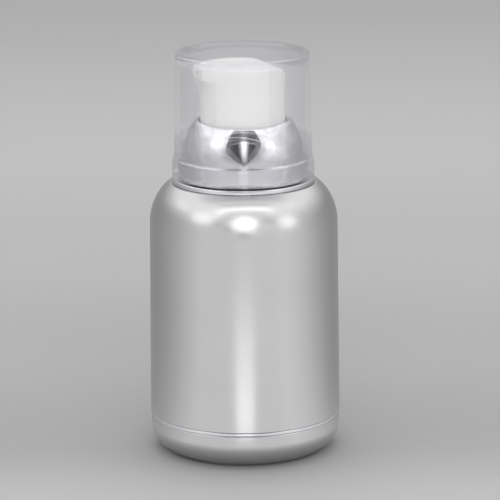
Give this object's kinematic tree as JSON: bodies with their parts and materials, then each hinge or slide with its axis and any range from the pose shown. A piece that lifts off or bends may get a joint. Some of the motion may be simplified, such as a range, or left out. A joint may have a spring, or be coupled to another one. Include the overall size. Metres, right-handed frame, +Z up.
{
  "type": "airless pump bottle",
  "caption": "Round silver bottle with a clear lift-off cap over a push button with a side spout, a bright domed collar, and a follower piston that rises inside.",
  "frame": {"origin": "on the floor, on the bottle's axis", "axes": "+Z up along the bottle's axis; the spout points along -X"},
  "size_m": [0.06, 0.06, 0.1263],
  "materials": {
    "clear_cap": "clear moulded, glossy",
    "white_button": "white moulded, semi-gloss",
    "bright_collar": "bright anodised",
    "polished_ring": "polished",
    "silver_lacquer": "satin silver lacquer on moulded plastic",
    "natural_polypropylene": "natural, moulded",
    "piston_polyethylene": "moulded, waxy",
    "inner_bottle": "blow moulded, milky",
    "follower_white": "moulded, waxy",
    "soft_seal": "soft, matt",
    "steel": "drawn stainless"
  },
  "bodies": {
    "bottle": {"outer_shell": "silver_lacquer", "inner_bottle": "inner_bottle", "neck_ring": "polished_ring", "trim_ring": "polished_ring", "base_cup": "silver_lacquer", "base_plug": "natural_polypropylene"},
    "pump": {"pump_housing": "natural_polypropylene", "housing_cap": "natural_polypropylene", "neck_gasket": "soft_seal", "ball_cage": "natural_polypropylene", "return_spring": "steel"},
    "closure": {"collar_cover": "bright_collar", "screw_closure": "natural_polypropylene"},
    "overcap": {"overcap": "clear_cap"},
    "plunger": {"stem": "natural_polypropylene", "valve_stem": "natural_polypropylene"},
    "button": {"actuator": "white_button", "nozzle_insert": "white_button"},
    "pump_piston": {"pump_piston": "piston_polyethylene"},
    "outlet_ball": {"outlet_ball": "steel"},
    "inlet_ball": {"inlet_ball": "steel"},
    "follower": {"follower_piston": "follower_white", "follower_seal": "soft_seal"}
  },
  "joints": [
    {"name": "pump_lift", "type": "slide", "parent": "bottle", "child": "pump", "axis": [0, 0, 1], "range_m": [0, 0.00526]},
    {"name": "closure_turn", "type": "hinge", "parent": "pump", "child": "closure", "pos_m": [0, 0, 0.09], "axis": [0, 0, 1], "range_deg": [0, 630]},
    {"name": "overcap_lift", "type": "slide", "parent": "closure", "child": "overcap", "axis": [0, 0, 1], "range_m": [0, 0.045]},
    {"name": "press", "type": "slide", "parent": "pump", "child": "plunger", "axis": [0, 0, -1], "range_m": [0, 0.0045], "stiffness_N_per_m": 1200, "springref_m": -0.004, "deforming": ["return_spring"]},
    {"name": "button_swivel", "type": "hinge", "parent": "plunger", "child": "button", "pos_m": [0, 0, 0.11], "axis": [0, 0, 1], "continuous": true},
    {"name": "piston_slack", "type": "slide", "parent": "plunger", "child": "pump_piston", "axis": [0, 0, 1], "range_m": [0, 0.0008]},
    {"name": "outlet_ball_lift", "type": "slide", "parent": "plunger", "child": "outlet_ball", "axis": [0, 0, 1], "range_m": [0, 0.0009]},
    {"name": "inlet_ball_lift", "type": "slide", "parent": "pump", "child": "inlet_ball", "axis": [0, 0, 1], "range_m": [0, 0.0012]},
    {"name": "follower_rise", "type": "slide", "parent": "bottle", "child": "follower", "axis": [0, 0, 1], "range_m": [0, 0.051]}
  ],
  "couplings": [
    {"joint": "pump_lift", "follows": "closure_turn", "m_per_rad": 0.00047746}
  ]
}
